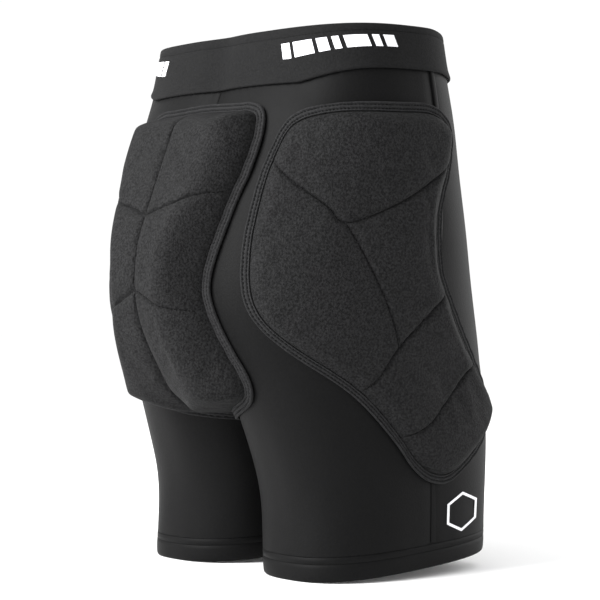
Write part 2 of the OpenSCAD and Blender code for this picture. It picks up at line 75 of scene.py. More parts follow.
# Cross-sections of one half of the body at seven equal steps from hem to waist, as in the CAD
# model: outermost x and middle of each oval, its half-width towards the other leg, its half-depths
# to the back and the front, the y of its middle, and the roundness of its back and front.
REACH = [154, 154, 153, 164, 170, 170, 157]
CENTRE = [87, 80, 72, 53, 47, 46, 43]
INSIDE = [76, 75, 76, 104, 112, 112, 112]
BACK = [95, 97, 120, 144, 132, 100, 78]
FRONT = [113, 121, 128, 123, 107, 95, 89]
MIDDLE_Y = [-35, -34, -29, -21, -19, -16, -15]
BACK_POWER = [2.6, 2.5, 2.35, 2.05, 2.05, 2.3, 2.4]
FRONT_POWER = 2.6
CROWDING = 1.6                  # crowds a panel's points towards the middle of the body

SIDES = (("right", -1), ("left", 1))    # the wearer's, and their sign in x
FACES = (("back", 1), ("front", -1))    # and their sign in y


# ---- the body surface -------------------------------------------------------------------------

def smooth(q):
    """Rises from 0 to 1 as q does, level at both ends."""
    q = np.clip(q, 0, 1)
    return q * q * (3 - 2 * q)


def dome(q):
    """A quarter circle from 0 to 1, steep at its start."""
    q = np.clip(q, 0, 1)
    return np.sqrt(1 - (1 - q) ** 2)


def swell(q):
    """The rise of a cushion from its binding, from 0 to 1."""
    return np.sin(np.pi / 2 * np.clip(q, 0, 1)) ** 0.75


def spline(a, b, c, d, t):
    """The smooth curve from b to c at t, with a before them and d after them."""
    return (2 * b + (c - a) * t + (2 * a - 5 * b + 4 * c - d) * t**2 + (3 * b - a - 3 * c + d) * t**3) / 2


def unit(v):
    return v / np.linalg.norm(v, axis=-1, keepdims=True)


def along(values, z):
    """Value at height z of a list at equal steps from hem to waist, on a smooth curve."""
    v = np.array([2 * values[0] - values[1]] + values + [2 * values[-1] - values[-2]], float)
    n = len(values) - 1
    q = np.clip(np.asarray(z, float) / HEIGHT * n, 0, n - 1e-4)
    i = q.astype(int)
    return spline(v[i], v[i + 1], v[i + 2], v[i + 3], q - i)


def bridge(z):
    """Half-width of the fabric's bridge over the middle of the body at height z."""
    return CLEFT * smooth((z - CROTCH_Z) / 60)


def oval(turn, z):
    """Polar radius of the half's oval: turn is 0 at its outermost point and 90 at the back."""
    c, s = np.cos(np.radians(turn)), np.sin(np.radians(turn))
    a = np.where(c >= 0, along(REACH, z) - along(CENTRE, z), along(INSIDE, z))
    b = np.where(s >= 0, along(BACK, z), along(FRONT, z))
    n = np.where(s >= 0, along(BACK_POWER, z), FRONT_POWER)
    return (np.abs(c / a) ** n + np.abs(s / b) ** n) ** (-1 / n)


def raw_x(turn, z):
    """How far out the half reaches, before the bridge."""
    return along(CENTRE, z) + oval(turn, z) * np.cos(np.radians(turn))


def body(turn, z):
    """Points of the body surface of one half, x outwards, for arrays of polar angle and height."""
    turn, z = np.broadcast_arrays(np.asarray(turn, float), np.asarray(z, float))
    x0 = raw_x(turn, z)
    s = np.sin(np.radians(turn))
    y0 = along(MIDDLE_Y, z) + oval(turn, z) * s
    x = np.where(
        z > CROTCH_Z,
        np.sqrt(np.maximum(np.maximum(x0, 0) ** 2 - bridge(z) ** 2, 0)),
        np.maximum(x0, 0.2),
    )
    y = y0 - SPINE_DENT * smooth((z - 330) / 90) * np.exp(-((x / 20) ** 2)) * np.maximum(s, 0)
    rise = HEM_RISE * (60 - y) * np.maximum(1 - z / 140, 0)
    dip = BAND_DIP * np.clip((y + 18) / 80, 0, 1) ** 4 * np.maximum(1 - np.abs(z - BAND_Z) / 40, 0)
    dip = dip + BAND_DROOP * smooth((-45 - y) / 55) * smooth((z - 380) / 60)
    return np.stack([x, y, z + rise - dip], -1)


def normal(turn, z):
    """Outward directions of the body surface of one half."""
    turn, z = np.broadcast_arrays(np.asarray(turn, float), np.asarray(z, float))
    side = np.where(turn > 40, -1.0, 1.0)
    p = body(turn, z)
    u = (body(turn + 0.5 * side, z) - p) * side[..., None]
    v = body(turn, z + 1) - body(turn, z - 1)
    return unit(np.cross(u, v))


def skin(turn, z, h):
    """Points at height h above the body surface."""
    return body(turn, z) + np.asarray(h, float)[..., None] * normal(turn, z)


def meet(z, direction):
    """Polar angle where the half meets the middle plane, at the back (1) or the front (-1)."""
    z = np.asarray(z, float)
    low, high = np.full(z.shape, 60.0), np.full(z.shape, 180.0)
    for _ in range(24):
        m = (low + high) / 2
        outside = raw_x(direction * m, z) > bridge(z)
        low, high = np.where(outside, m, low), np.where(outside, high, m)
    return direction * np.where(z <= CROTCH_Z, 180.0, low)


def turn_at(z, direction, s):
    """Polar angle at a share s of the way from the side seam to the middle plane."""
    z = np.asarray(z, float)
    m, f, far = meet(z, direction), 1 - (1 - s) ** CROWDING, 180 * direction
    knee = m - 40 * direction
    full = SIDE_ANGLE + (far - SIDE_ANGLE) * f
    squeezed = knee + (full - knee) * (m - knee) / (far - knee)
    near = np.where(full * direction < knee * direction, full, squeezed)
    return near + smooth((z - CROTCH_Z) / 80) * (SIDE_ANGLE + (m - SIDE_ANGLE) * f - near)


def seat_y(x, z):
    """The y of the seat pad's base, which spans the middle more widely than the fabric does."""
    span = bridge(z) ** 2 + PAD_BRIDGE**2 * smooth((z - CROTCH_Z) / 60) * np.exp(-((x / 40) ** 2))
    u = np.sqrt(x * x + span) - along(CENTRE, z)
    a = np.where(u >= 0, along(REACH, z) - along(CENTRE, z), along(INSIDE, z))
    n = along(BACK_POWER, z)
    return along(MIDDLE_Y, z) + along(BACK, z) * np.maximum(1 - np.abs(u / a) ** n, 1e-4) ** (1 / n)


def seat_frame(p):
    """Point and outward direction of the seat pad's base at [x, z]."""
    x, z = p[..., 0], p[..., 1]
    gx = (seat_y(x + 1, z) - seat_y(x - 1, z)) / 2
    gz = (seat_y(x, z + 1) - seat_y(x, z - 1)) / 2
    return np.stack([x, seat_y(x, z), z], -1), unit(np.stack([-gx, np.ones_like(gx), -gz], -1))


def hip_frame(p):
    """Point and outward direction of the left hip pad's base at [u, z]."""
    turn, z = p[..., 0] / GRAIN, p[..., 1]
    return body(turn, z), normal(turn, z)


# ---- meshes -----------------------------------------------------------------------------------

UV_PER_MM = 0.01


class Builder:
    """Collects grids of points with their UVs, and makes one mesh of them."""

    def __init__(self):
        self.points, self.faces, self.uvs, self.count = [], [], [], 0

    def grid(self, points, uv, wrap=False, flip=False):
        """points is rows x columns x 3; uv has one more column where the columns wrap round."""
        rows, cols = points.shape[:2]
        i, j = np.meshgrid(np.arange(rows - 1), np.arange(cols if wrap else cols - 1), indexing="ij")
        i, j = i.ravel(), j.ravel()
        k = (j + 1) % cols
        quad = np.stack([i * cols + j, i * cols + k, (i + 1) * cols + k, (i + 1) * cols + j], -1)
        corner = np.stack([uv[i, j], uv[i, j + 1], uv[i + 1, j + 1], uv[i + 1, j]], 1)
        if flip:
            quad, corner = quad[:, ::-1], corner[:, ::-1]
        self.points.append(points.reshape(-1, 3))
        self.faces.append(quad + self.count)
        self.uvs.append(corner.reshape(-1, 2))
        self.count += rows * cols

    def object(self, name):
        """The mesh object, with the points where its grids meet made one."""
        parts = [np.concatenate(values) for values in (self.points, self.faces, self.uvs)]
        mesh = mesh_of(name, *parts)
        bm = bmesh.new()
        bm.from_mesh(mesh)
        bmesh.ops.remove_doubles(bm, verts=bm.verts, dist=1e-6)
        bmesh.ops.dissolve_degenerate(bm, edges=bm.edges, dist=1e-7)
        bm.to_mesh(mesh)
        bm.free()
        return link(name, mesh)


def mesh_of(name, points, faces, uvs=None):
    """A mesh from points and UVs in millimetres; all faces have as many corners as the first."""
    mesh = bpy.data.meshes.new(name)
    mesh.vertices.add(len(points))
    mesh.vertices.foreach_set("co", (points * MM).astype(np.float32).ravel())
    mesh.loops.add(faces.size)
    mesh.loops.foreach_set("vertex_index", faces.astype(np.int32).ravel())
    mesh.polygons.add(len(faces))
    mesh.polygons.foreach_set("loop_start", np.arange(0, faces.size, faces.shape[1], dtype=np.int32))
    if uvs is not None:
        layer = mesh.uv_layers.new(name="UVMap")
        layer.data.foreach_set("uv", (uvs * UV_PER_MM).astype(np.float32).ravel())
    mesh.update(calc_edges=True)
    mesh.validate()
    return mesh


def link(name, mesh, sharp=50):
    """A smooth-shaded object of the mesh, with edges over sharp degrees kept sharp."""
    mesh.shade_smooth()
    if sharp:
        mesh.set_sharp_from_angle(angle=math.radians(sharp))
    obj = bpy.data.objects.new(name, mesh)
    bpy.context.scene.collection.objects.link(obj)
    return obj


def mirrored(points):
    """The same points on the wearer's other side."""
    return points * np.array([-1.0, 1.0, 1.0])


def on_side(points, side):
    """Points of the left half, moved to the right half where side is -1."""
    return points if side > 0 else mirrored(points)


def lengths(line, closed=False):
    """Distance along a line to each of its points, and for a closed line back to its start."""
    ends = np.concatenate([line[1:], line[:1]]) if closed else line[1:]
    starts = line if closed else line[:-1]
    return np.concatenate([[0], np.cumsum(np.linalg.norm(ends - starts, axis=-1))])


def shell(name, outer, inner, uv, flip):
    """A closed sheet of cloth between two grids of points, rounded at its edges."""
    b = Builder()
    b.grid(outer, uv, flip=flip)
    b.grid(inner, uv, flip=not flip)
    mid = (outer + inner) / 2
    for col in (0, -1):
        rim = np.stack([outer[:, col], mid[:, col], inner[:, col]], 1)
        b.grid(rim, np.repeat(uv[:, [col]], 3, axis=1), flip=flip if col else not flip)
    for row in (0, -1):
        rim = np.stack([outer[row], mid[row], inner[row]], 0)
        b.grid(rim, np.repeat(uv[[row]], 3, axis=0), flip=not flip if row else flip)
    return b.object(name)


def tube(name, loops, run, flip=False):
    """A ring swept from its profile: loops is profile x along x 3, closed both ways."""
    across = lengths(loops[:, 0], True)
    b = Builder()
    b.grid(np.concatenate([loops, loops[:1]]), np.stack(np.meshgrid(run, across), -1), wrap=True, flip=flip)
    return b.object(name)


# ---- materials --------------------------------------------------------------------------------

def knit(name, dark, light, blotch=2.0, pitch=1.5, bump=0.5, sheen=0.02, rough=0.8, gloss=0.1, coords="UV"):
    """A knitted or woven cloth: loops `pitch` mm apart, mottled over `blotch` mm, grey levels linear."""
    mat = bpy.data.materials.new(name)
    mat.use_nodes = True
    tree = mat.node_tree
    tree.nodes.clear()
    make, join = tree.nodes.new, tree.links.new
    out = make("ShaderNodeOutputMaterial")
    shader = make("ShaderNodeBsdfPrincipled")
    join(shader.outputs["BSDF"], out.inputs["Surface"])
    place = make("ShaderNodeTexCoord")

    # Knitted loops, a little longer than wide.
    squeeze = make("ShaderNodeMapping")
    squeeze.inputs["Scale"].default_value = (1.25, 0.8, 1)
    join(place.outputs[coords], squeeze.inputs["Vector"])
    loops = make("ShaderNodeTexVoronoi")
    loops.inputs["Scale"].default_value = (1 / UV_PER_MM if coords == "UV" else 1 / MM) / pitch
    loops.inputs["Randomness"].default_value = 0.45
    join(squeeze.outputs["Vector"], loops.inputs["Vector"])

    # Uneven yarn: paler and darker flecks.
    mottle = make("ShaderNodeTexNoise")
    mottle.inputs["Scale"].default_value = 500 / blotch
    mottle.inputs["Detail"].default_value = 2
    mottle.inputs["Roughness"].default_value = 0.6
    join(place.outputs["Object"], mottle.inputs["Vector"])
    tint = make("ShaderNodeValToRGB")
    tint.color_ramp.elements[0].position = 0.36
    tint.color_ramp.elements[0].color = (dark, dark, dark * 1.04, 1)
    tint.color_ramp.elements[1].position = 0.66
    tint.color_ramp.elements[1].color = (light, light, light * 1.03, 1)
    join(mottle.outputs["Fac"], tint.inputs["Fac"])
    join(tint.outputs["Color"], shader.inputs["Base Color"])

    # Both raise the surface a little.
    height = make("ShaderNodeMath")
    height.operation = "MULTIPLY_ADD"
    height.inputs[1].default_value = -0.7
    join(loops.outputs["Distance"], height.inputs[0])
    join(mottle.outputs["Fac"], height.inputs[2])
    relief = make("ShaderNodeBump")
    relief.inputs["Strength"].default_value = bump
    relief.inputs["Distance"].default_value = 0.0006
    join(height.outputs["Value"], relief.inputs["Height"])
    join(relief.outputs["Normal"], shader.inputs["Normal"])

    shader.inputs["Roughness"].default_value = rough
    shader.inputs["Specular IOR Level"].default_value = gloss
    shader.inputs["Sheen Weight"].default_value = sheen
    shader.inputs["Sheen Roughness"].default_value = 0.35
    return mat


stretch_knit = knit("stretch_knit", 0.0028, 0.0040, blotch=0.9, pitch=0.9, bump=0.25, sheen=0.005,
                    rough=0.55, gloss=0.07)
pad_knit = knit("pad_knit", 0.0040, 0.0150, blotch=0.95, pitch=1.5, bump=0.8, sheen=0.01)
band_knit = knit("band_knit", 0.0045, 0.0080, blotch=0.9, pitch=1.1, bump=0.5, sheen=0.015)
binding_knit = knit("binding_knit", 0.0110, 0.0200, blotch=0.9, pitch=1.1, bump=0.5, sheen=0.02)
thread = knit("thread", 0.0020, 0.0030, blotch=0.8, pitch=0.6, bump=0.4, coords="Object")
pale_print = knit("print", 0.80, 0.86, blotch=1.5, pitch=1.0, bump=0.25, rough=0.6)
foam_cells = knit("foam", 0.55, 0.66, blotch=3.0, pitch=1.6, bump=0.7, rough=0.95, coords="Object")
woven_elastic = knit("elastic", 0.62, 0.74, blotch=1.2, pitch=1.0, bump=0.8, coords="Object")
label_satin = knit("label", 0.70, 0.78, blotch=1.0, pitch=0.5, bump=0.2, sheen=0.2, rough=0.5,
                   coords="Object")
inner_knit = knit("inner_knit", 0.0055, 0.0080, blotch=1.5, pitch=1.1, bump=0.4, coords="Object")


def dress(obj, mat):
    """Gives a piece its material and slot, and puts it on the only body."""
    obj.data.materials.append(mat)
    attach(obj, "root")


# ---- stitches ---------------------------------------------------------------------------------

def capsule(length, radius, sides=6):
    """Points and triangles of one stitch along X: two poles and three rings."""
    points = [[-length / 2, 0, 0]]
    for x, r in ((-0.36, 0.75), (0, 1), (0.36, 0.75)):
        for k in range(sides):
            a = 2 * math.pi * k / sides
            points.append([x * length, r * radius * math.cos(a), r * radius * math.sin(a)])
    points.append([length / 2, 0, 0])
    end = len(points) - 1
    faces = []
    for k in range(sides):
        m = (k + 1) % sides
        faces.append([0, 1 + m, 1 + k])
        faces.append([end, end - sides + k, end - sides + m])
        for ring in (1, 1 + sides):
            faces.append([ring + k, ring + m, ring + sides + m])
            faces.append([ring + k, ring + sides + m, ring + sides + k])
    return np.array(points, float), np.array(faces)


def spread(line, closed, pitch):
    """Fractional indices along a line at equal steps of about pitch."""
    run = lengths(line, closed)
    n = max(int(run[-1] / pitch), 1)
    at = (np.arange(n) + 0.5) * run[-1] / n
    return np.interp(at, run, np.arange(len(run)))


def sample(values, at):
    """Values of a closed list at fractional indices."""
    i = np.floor(at).astype(int)
    t = (at - i)[:, None]
    n = len(values)
    return values[i % n] * (1 - t) + values[(i + 1) % n] * t


def stitches(name, runs, pitch=3.6, length=2.7, radius=0.34, sink=0.1):
    """One mesh of all the stitches of several runs, each (line, outward directions, closed)."""
    shape, tris = capsule(length, radius)
    points, faces, count = [], [], 0
    for line, up, closed in runs:
        at = spread(line, closed, pitch)
        centre, out = sample(line, at), unit(sample(up, at))
        ahead = unit(sample(line, at + 0.4) - sample(line, np.maximum(at - 0.4, 0)))
        across = unit(np.cross(out, ahead))
        out = np.cross(ahead, across)
        axes = np.stack([ahead, across, out], 1)
        placed = (centre - sink * out)[:, None, :] + np.einsum("vk,nkc->nvc", shape, axes)
        first = count + np.arange(len(at)) * len(shape)
        points.append(placed.reshape(-1, 3))
        faces.append((tris + first[:, None, None]).reshape(-1, 3))
        count += len(at) * len(shape)
    mesh = mesh_of(name, np.concatenate(points), np.concatenate(faces))
    return link(name, mesh, sharp=0)


# ---- fabric panels ----------------------------------------------------------------------------

LEG_ROWS, TORSO_ROWS, PANEL_COLS = 40, 110, 65
SIDE_TUCK, MIDDLE_TUCK = 0.8, 0.9   # how far the cloth turns in at the side seam and the middle
GATHER, PUCKER, DRAPE = 0.35, 0.25, 0.5


def panel_relief(run, x, z, low, top):
    """Height of a panel's tucks, gathers, puckers and drape, run millimetres from the side seam."""
    free = np.clip(run / 4, 0, 1)
    h = -SIDE_TUCK * np.exp(-((run / 1.5) ** 2))
    h -= MIDDLE_TUCK * np.exp(-((x / 1.8) ** 2)) * (z > CROTCH_Z + 6)
    h += GATHER * np.sin(run / 1.7 + 2 * np.sin(run / 31)) * np.exp(-(top - z) / 9) * free
    h += PUCKER * np.sin(run / 1.3) * np.exp(-(z - low) / 7) * free
    loose = np.clip(run / 12, 0, 1) * np.clip(x / 12, 0, 1)
    return h + DRAPE * np.sin(z / 23 + run / 37) * np.sin(run / 29 - z / 51) * loose


def panel(name, side, direction):
    """One panel of one half, from the side seam to the middle plane at the back or the front."""
    low, top = HEM_H + 0.1, BAND_Z - 0.3
    z = np.concatenate([
        np.linspace(low, CROTCH_Z, LEG_ROWS)[:-1],
        CROTCH_Z + (top - CROTCH_Z) * np.linspace(0, 1, TORSO_ROWS) ** CROWDING,
    ])
    zz, share = np.meshgrid(z, np.linspace(0, 1, PANEL_COLS), indexing="ij")
    turn = turn_at(zz, direction, share)
    flat = body(turn, zz)
    step = np.linalg.norm(np.diff(flat, axis=1), axis=-1)
    run = np.concatenate([np.zeros((len(z), 1)), np.cumsum(step, 1)], 1)
    h = panel_relief(run, flat[..., 0], zz, low, top)
    outer, inner = skin(turn, zz, h), skin(turn, zz, h - FABRIC)
    for grid in (outer, inner):
        grid[z > CROTCH_Z, -1, 0] = 0
    uv = np.stack([run, zz], -1)
    return shell(name, on_side(outer, side), on_side(inner, side), uv, flip=side * direction > 0)


for half, side in SIDES:
    for where, direction in FACES:
        cloth = panel(f"{where}_panel_{half}_cloth", side, direction)
        dress(cloth, stretch_knit)
        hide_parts(f"{where}_panel_{half}")


# ---- waistband and hems -----------------------------------------------------------------------

def waist_loop(z, h, n=60):
    """A closed loop round the waist at height z, h above the body surface."""
    s = np.linspace(0, 1, n + 1)
    zz, hh = np.full(n + 1, float(z)), np.full(n + 1, float(h))
    back = skin(turn_at(zz, 1, s), zz, hh)
    front = skin(turn_at(zz, -1, s), zz, hh)
    back[-1, 0] = front[-1, 0] = 0
    return np.concatenate([back[::-1], front[1:], mirrored(front[::-1])[1:], mirrored(back)[1:-1]])


def leg_loop(z, h, side, n=160):
    """A closed loop round one leg at height z, h above the body surface."""
    turn = 360 * np.arange(n) / n - 180
    return on_side(skin(turn, np.full(n, float(z)), np.full(n, float(h))), side)


# The waistband's section, as [distance out from the body, rows up out of BAND_TALL]: a rolled lower
# edge, a stitched groove under the top, and a plain inner layer.
BAND_TALL = 42
BAND_GROOVE = 34.9
BAND_PROFILE = [
    [0.3, 0.2], [0.9, -0.9], [1.9, -1.3], [2.7, -0.7], [3.0, 0.6], [2.8, 2.4], [2.3, 5], [1.95, 8],
    [1.8, 12], [1.75, 17], [1.8, 22], [1.75, 27], [1.8, 31], [1.8, 33.6], [1.35, 34.6], [1.3, 35.2],
    [1.75, 36.2], [1.85, 38], [1.8, 39.8], [1.5, 41.1], [0.7, 41.9], [-0.4, BAND_TALL], [-1.5, 41.8],
    [-2.3, 41.0], [-2.6, 39.6], [-2.6, 30], [-2.6, 18], [-2.6, 6], [-2.5, 1], [-2.1, 0.1], [-1.4, 0.2],
]


def band_z(row):
    """The height of a row of the waistband's section."""
    return min(BAND_Z - BAND_LAP + row * (BAND_H + BAND_LAP) / BAND_TALL, HEIGHT)


waist_run = lengths(waist_loop(BAND_Z + 20, 1.7), True)
band = tube("waistband_cloth", np.stack([waist_loop(band_z(z), h) for h, z in BAND_PROFILE]), waist_run)
dress(band, band_knit)
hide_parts("waistband_outer", "waistband_lining")

# The hem's section, as [distance out from the body, height], with a groove for each row of stitches.
HEM_STITCH_Z = (21.5, 15.4)
HEM_PROFILE = [
    [0, HEM_H], [0.05, 21.9], [-0.35, HEM_STITCH_Z[0]], [0.1, 21.0], [0.25, 18.5], [0.1, 15.9],
    [-0.35, HEM_STITCH_Z[1]], [0.15, 14.9], [0.35, 12], [0.3, 7], [0.2, 3], [-0.2, 1.0], [-0.8, 0.25],
    [-1.4, 0.05], [-2.0, 0.6], [-2.4, 2], [-2.4, 8], [-2.4, 15], [-2.4, HEM_H], [-1.2, HEM_H],
]
hems, hem_rows = [], []
for half, side in SIDES:
    hem_run = lengths(leg_loop(10, 0, side), True)
    loops = np.stack([leg_loop(z, h, side) for h, z in HEM_PROFILE])
    hem = tube(f"hem_{half}_cloth", loops, hem_run, flip=side < 0)
    dress(hem, stretch_knit)
    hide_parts(f"hem_{half}")
    hems.append(hem)
    for z in HEM_STITCH_Z:
        line = leg_loop(z, -0.15, side)
        hem_rows.append((line, leg_loop(z, 1, side) - line, True))
dress(stitches("hem_stitches", hem_rows, pitch=3.0, length=2.3, radius=0.3), thread)

line = waist_loop(band_z(BAND_GROOVE), 1.45)
band_rows = [(line, waist_loop(band_z(BAND_GROOVE), 3) - line, True)]
dress(stitches("waistband_stitches", band_rows, pitch=3.2, length=2.4, radius=0.26), thread)


# ---- prints -----------------------------------------------------------------------------------

# Slanted bars round the back of the waistband, as [first angle, last angle].
PRINT_BARS = [[5, 10], [12, 15], [17, 27], [29, 32], [34, 39], [41, 51], [53, 58]]
PRINT_LOW, PRINT_TALL, PRINT_SLANT = 459.5 * LIFT, 10, 1.5
PRINT_TOP, PRINT_UNDER = 2.15, 1.6      # heights above the body, to clear the waistband
for half, side in SIDES:
    b = Builder()
    for first, last in PRINT_BARS:
        share, up = np.meshgrid(np.linspace(0, 1, 9), np.linspace(0, 1, 5), indexing="ij")
        turn = first + (last - first) * share + PRINT_SLANT * up
        z = PRINT_LOW + PRINT_TALL * up
        top = on_side(skin(turn, z, np.full(z.shape, PRINT_TOP)), side)
        under = on_side(skin(turn, z, np.full(z.shape, PRINT_UNDER)), side)
        uv = np.stack([turn * GRAIN, z], -1)
        b.grid(top, uv, flip=side < 0)
        for a, c, turned in ((top[0], under[0], True), (top[-1], under[-1], False)):
            b.grid(np.stack([a, c]), np.repeat(uv[:1], 2, axis=0), flip=turned != (side < 0))
        for a, c, turned in ((top[:, 0], under[:, 0], False), (top[:, -1], under[:, -1], True)):
            b.grid(np.stack([a, c]), np.stack([uv[:, 0]] * 2), flip=turned != (side < 0))
    bars = b.object(f"waist_print_{half}_bars")
    dress(bars, pale_print)
    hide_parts(f"waist_print_{half}")

# A six-sided outline on the front of the right leg.
MARK_TURN, MARK_Z = -38.6, 47 * LIFT
MARK_HALF_TURN, MARK_HALF_H = 15, 19 * LIFT
MARK_INNER = 0.86                       # inner edge of the line, as a share of its outer edge
MARK_STEPS = 72
corner = np.radians(np.arange(30, 391, 60))
at = np.linspace(0, 6, MARK_STEPS + 1)[:-1]
around = [np.interp(at, range(7), f(corner)) for f in (np.cos, np.sin)]
loops = []
for scale, h in ((1, 0.15), (1, 0.5), (MARK_INNER, 0.5), (MARK_INNER, 0.15)):
    turn = MARK_TURN + MARK_HALF_TURN * scale * around[0]
    z = MARK_Z + MARK_HALF_H * scale * around[1]
    loops.append(mirrored(skin(turn, z, np.full(MARK_STEPS, h))))
outline_print = tube("leg_print_outline", np.stack(loops), lengths(loops[0], True))
dress(outline_print, pale_print)
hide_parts("leg_print")


# ---- seams ------------------------------------------------------------------------------------

def strip(name, path, width, height, sunk=0.0):
    """A rounded strip along a path of (points, across, up); height and sunk may change along it."""
    points, across, up = path
    height, sunk = (np.broadcast_to(v, len(points))[:, None] for v in (height, sunk))
    section = [[-0.5, -0.6], [-0.5, 0], [-0.42, 0.8], [-0.2, 1], [0.2, 1], [0.42, 0.8], [0.5, 0], [0.5, -0.6]]
    rows = []
    for a, h in section:
        rise = h * height if h > 0 else h
        rows.append(points + across * width * a + up * (rise - sunk))
    grid = np.stack(rows, 1)
    run = lengths(points)
    uv = np.stack(np.meshgrid(run, np.arange(len(section)) * 1.0, indexing="ij"), -1)
    b = Builder()
    b.grid(grid, uv)
    b.grid(grid[:, [0, -1]], uv[:, [0, -1]], flip=True)
    for end, flip in ((0, True), (-1, False)):
        b.grid(np.stack([grid[end, :4], grid[end, :3:-1]]), np.stack([uv[end, :4]] * 2), flip=flip)
    return b.object(name)


SIDE_TAPE_W, SIDE_TAPE_H = 5.6, 0.65
MIDDLE_TAPE_W, MIDDLE_TAPE_H = 2.2, 0.3
MIDDLE_SUNK = 0.55                      # the middle seams lie in the panels' tuck

for half, side in SIDES:
    z = np.linspace(HEM_H + 1, BAND_Z - BAND_LAP + 1, 150)
    turn = np.full(z.shape, SIDE_ANGLE - 4 / GRAIN)
    up = on_side(normal(turn, z), side)
    points = on_side(body(turn, z), side)
    across = unit(np.cross(np.gradient(points, axis=0), up))
    shown = smooth((z - 90) / 120)      # the tape flattens towards the hem
    height, sunk = 0.1 + SIDE_TAPE_H * shown, 0.3 * (1 - shown)
    seam = strip(f"seam_side_{half}_tape", (points, across, up), SIDE_TAPE_W, height, sunk)
    dress(seam, stretch_knit)
    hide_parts(f"seam_side_{half}")

IN_MIDDLE = np.array([0, 1, 1])
for where, direction in FACES:
    z = np.linspace(CROTCH_Z + 14, BAND_Z, 132)
    turn = meet(z, direction)
    up = unit(normal(turn, z) * IN_MIDDLE)
    points = body(turn, z) * IN_MIDDLE - MIDDLE_SUNK * up
    across = np.repeat([[1.0, 0, 0]], len(z), 0)
    seam = strip(f"seam_centre_{where}_tape", (points, across, up), MIDDLE_TAPE_W, MIDDLE_TAPE_H)
    dress(seam, thread)
    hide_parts(f"seam_centre_{where}")


# ---- pads -------------------------------------------------------------------------------------

def closed_curve(controls, steps):
    """A smooth closed curve through its control points."""
    c = np.array(controls, float)
    n = len(c)
    k, t = divmod(np.arange(n * steps), steps)
    return spline(c[(k - 1) % n], c[k % n], c[(k + 1) % n], c[(k + 2) % n], t[:, None] / steps)


def open_curve(controls, steps):
    """A smooth curve through its control points, from the first to the last."""
    c = np.array(controls, float)
    c = np.concatenate([[2 * c[0] - c[1]], c, [2 * c[-1] - c[-2]]])
    k, t = divmod(np.arange((len(c) - 3) * steps), steps)
    line = spline(c[k], c[k + 1], c[k + 2], c[k + 3], t[:, None] / steps)
    return np.concatenate([line, c[-2:-1]])


def at_run(line, run, at):
    """The points of a flat line at the distances `at` along it, given the distances of its own."""
    return np.stack([np.interp(at, run, line[:, k]) for k in range(2)], -1)


def even(line, step):
    """The same line with points at equal steps, both ends kept."""
    run = lengths(line)
    at = np.linspace(0, run[-1], max(int(round(run[-1] / step)), 1) + 1)
    return at_run(line, run, at)


def inwards(line):
    """Unit vectors of a closed line towards its inside."""
    d = unit(np.roll(line, -1, 0) - np.roll(line, 1, 0))
    n = np.stack([-d[:, 1], d[:, 0]], -1)
    area = np.sum(line[:, 0] * np.roll(line[:, 1], -1) - line[:, 1] * np.roll(line[:, 0], -1))
    return n if area > 0 else -n


def distance(p, line):
    """Distance from each point to an open line."""
    best = np.full(len(p), 1e9)
    for a, b in zip(line[:-1], line[1:]):
        d = b - a
        t = np.clip(((p - a) @ d) / max(d @ d, 1e-9), 0, 1)
        best = np.minimum(best, np.linalg.norm(p - a - t[:, None] * d, axis=-1))
    return best


def inside_of(p, line):
    """Which points lie inside a closed line."""
    hit = np.zeros(len(p), bool)
    for a, b in zip(line, np.roll(line, -1, 0)):
        crosses = (a[1] > p[:, 1]) != (b[1] > p[:, 1])
        with np.errstate(divide="ignore", invalid="ignore"):
            x = a[0] + (p[:, 1] - a[1]) * (b[0] - a[0]) / (b[1] - a[1])
        hit ^= crosses & (p[:, 0] < x)
    return hit


OUTLINE_STEPS, CHANNEL_STEPS = 24, 12   # points of a curve from one control point to the next
EDGE_STEP = 3.0                         # spacing of mesh points along seams
FIELD_STEP = 3.4                        # and over the cushions
FIELD_ROW = 0.866                       # distance between the field's rows, as a share of its step
FIELD_EDGE = 7.0                        # the even part of the mesh ends this far from a seam
BESIDE_SEAMS = (1.1, 2.6, 4.8)          # rows of points beside each seam
CLEARANCE = 0.93                        # share of its distance that such a row keeps from others
CHANNEL_W = 7                           # width of the cushions' rounded edge at a channel
ON_SEAM = 0.05                          # points closer than this lie on a seam
GUTTER, GUTTER_W = 1.8, 1.3             # the cover dips beside its binding
PRESSURE, PUFF_FRAMES = 4.0, 20
PUFF_MAX, SINK_MAX = 2.0, 0.4           # how far a point of a cushion may move, and how far inwards

# The binding's section, as [distance from the outer edge, height above the pad's base], and the
# distances of its two rows of cover stitching.
TAPE_SECTION = [
    [0.1, -0.6], [-0.35, 0.3], [-0.4, 1.4], [0.0, 2.3], [0.7, 2.85], [1.4, 2.75], [1.95, 2.35],
    [2.35, 2.2], [2.75, 2.35], [3.3, 2.6], [4.1, 2.7], [4.9, 2.6], [5.45, 2.35], [5.85, 2.2],
    [6.25, 2.35], [6.8, 2.75], [7.5, 2.85], [8.1, 2.3], [8.3, 1.2], [8.1, -0.6],
]
TAPE_ROWS = (2.35, 5.85)
TAPE_STEP, TAPE_PITCH = 0.9, 3.6        # spacing of the tape's mesh points, and of its stitches
DIMPLE, DIMPLE_W = 1.2, 0.55            # how deep each stitch pulls the tape in, and how widely
RIPPLE, RIPPLE_RUN = 0.18, 2.9


